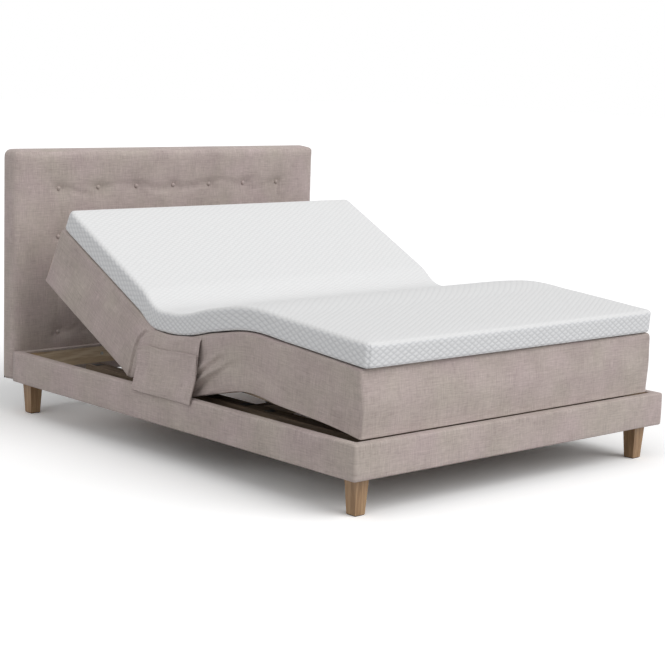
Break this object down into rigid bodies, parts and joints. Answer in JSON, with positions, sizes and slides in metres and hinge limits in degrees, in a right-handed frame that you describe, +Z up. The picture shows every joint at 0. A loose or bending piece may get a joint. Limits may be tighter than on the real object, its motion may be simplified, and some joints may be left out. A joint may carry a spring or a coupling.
{
  "type": "adjustable bed",
  "caption": "Motorised adjustable double bed: upholstered frame, button-tufted headboard, hinged box mattress in sections, knit topper, tapered oak legs.",
  "frame": {"origin": "centre of the bed's bounding box on the floor", "axes": "+Z up, +Y towards the headboard, +X towards the side on the right of someone facing the headboard"},
  "size_m": [1.7238, 2.26, 1.142],
  "materials": {
    "upholstery_cloth": "taupe linen-look woven upholstery cloth with light and dark slubs",
    "topper_knit": "white jacquard knit ticking, quilted in small waves",
    "back_lining": "plain dark lining cloth",
    "oak": "oiled oak, satin",
    "bare_wood": "bare planed softwood and plywood",
    "painted_steel": "black powder coat",
    "plated_steel": "zinc plated",
    "dark_plastic": "black moulded plastic"
  },
  "bodies": {
    "frame": {"back_drive_channel": "painted_steel", "back_drive_housing": "dark_plastic", "back_drive_screw": "plated_steel", "base_rail_left": "bare_wood", "base_rail_right": "bare_wood", "control_box": "dark_plastic", "corner_blocks": "bare_wood", "corner_bolts": "plated_steel", "cross_bearers": "bare_wood", "floor_glides": "dark_plastic", "foot_rail": "bare_wood", "head_rail": "bare_wood", "headboard_back_cloth": "back_lining", "headboard_bolts": "plated_steel", "headboard_buttons": "upholstery_cloth", "headboard_padding": "upholstery_cloth", "headboard_panel": "bare_wood", "hinge_pins": "plated_steel", "ledge_battens": "bare_wood", "leg_foot_left": "oak", "leg_foot_right": "oak", "leg_head_left": "oak", "leg_head_right": "oak", "leg_plates": "plated_steel", "leg_studs": "plated_steel", "pocket_patches": "upholstery_cloth", "rail_cover_foot": "upholstery_cloth", "rail_cover_left": "upholstery_cloth", "rail_cover_right": "upholstery_cloth", "rest_buffers": "dark_plastic", "seat_frame": "bare_wood", "seat_hinge_leaves": "plated_steel", "seat_topper": "topper_knit", "seat_upholstery": "upholstery_cloth", "side_flaps": "upholstery_cloth", "side_rail_left": "bare_wood", "side_rail_right": "bare_wood", "support_legs": "painted_steel", "thigh_drive_channel": "painted_steel", "thigh_drive_housing": "dark_plastic", "thigh_drive_screw": "plated_steel"},
    "back": {"back_frame": "bare_wood", "back_upholstery": "upholstery_cloth", "back_topper": "topper_knit", "back_hinge_leaves": "plated_steel", "back_lever": "painted_steel"},
    "thigh": {"thigh_frame": "bare_wood", "thigh_upholstery": "upholstery_cloth", "thigh_topper": "topper_knit", "thigh_hinge_leaves": "plated_steel", "thigh_lever": "painted_steel", "knee_hinge_pins": "plated_steel"},
    "leg": {"leg_frame": "bare_wood", "leg_upholstery": "upholstery_cloth", "leg_topper": "topper_knit", "leg_hinge_leaves": "plated_steel"},
    "back_drive_block": {"back_thrust_block": "dark_plastic"},
    "thigh_drive_block": {"thigh_thrust_block": "dark_plastic"}
  },
  "joints": [
    {"name": "back_hinge", "type": "hinge", "parent": "frame", "child": "back", "pos_m": [0, 0.153, 0.376], "axis": [1, 0, 0], "range_deg": [-27, 33]},
    {"name": "thigh_hinge", "type": "hinge", "parent": "frame", "child": "thigh", "pos_m": [0, -0.112, 0.376], "axis": [-1, 0, 0], "range_deg": [-12.5, 22.5]},
    {"name": "knee_hinge", "type": "hinge", "parent": "thigh", "child": "leg", "pos_m": [0, -0.44031, 0.35045], "axis": [-1, 0, 0], "range_deg": [-30.7, 17.1]},
    {"name": "back_drive_slide", "type": "slide", "parent": "frame", "child": "back_drive_block", "axis": [0, 1, 0], "range_m": [-0.0901, 0.1101]},
    {"name": "thigh_drive_slide", "type": "slide", "parent": "frame", "child": "thigh_drive_block", "axis": [0, -1, 0], "range_m": [-0.04306, 0.07742]}
  ],
  "couplings": [
    {"joint": "knee_hinge", "follows": "thigh_hinge", "ratio": -1.36},
    {"joint": "back_drive_slide", "follows": "back_hinge", "m_per_rad": 0.19099},
    {"joint": "thigh_drive_slide", "follows": "thigh_hinge", "m_per_rad": 0.1969}
  ]
}
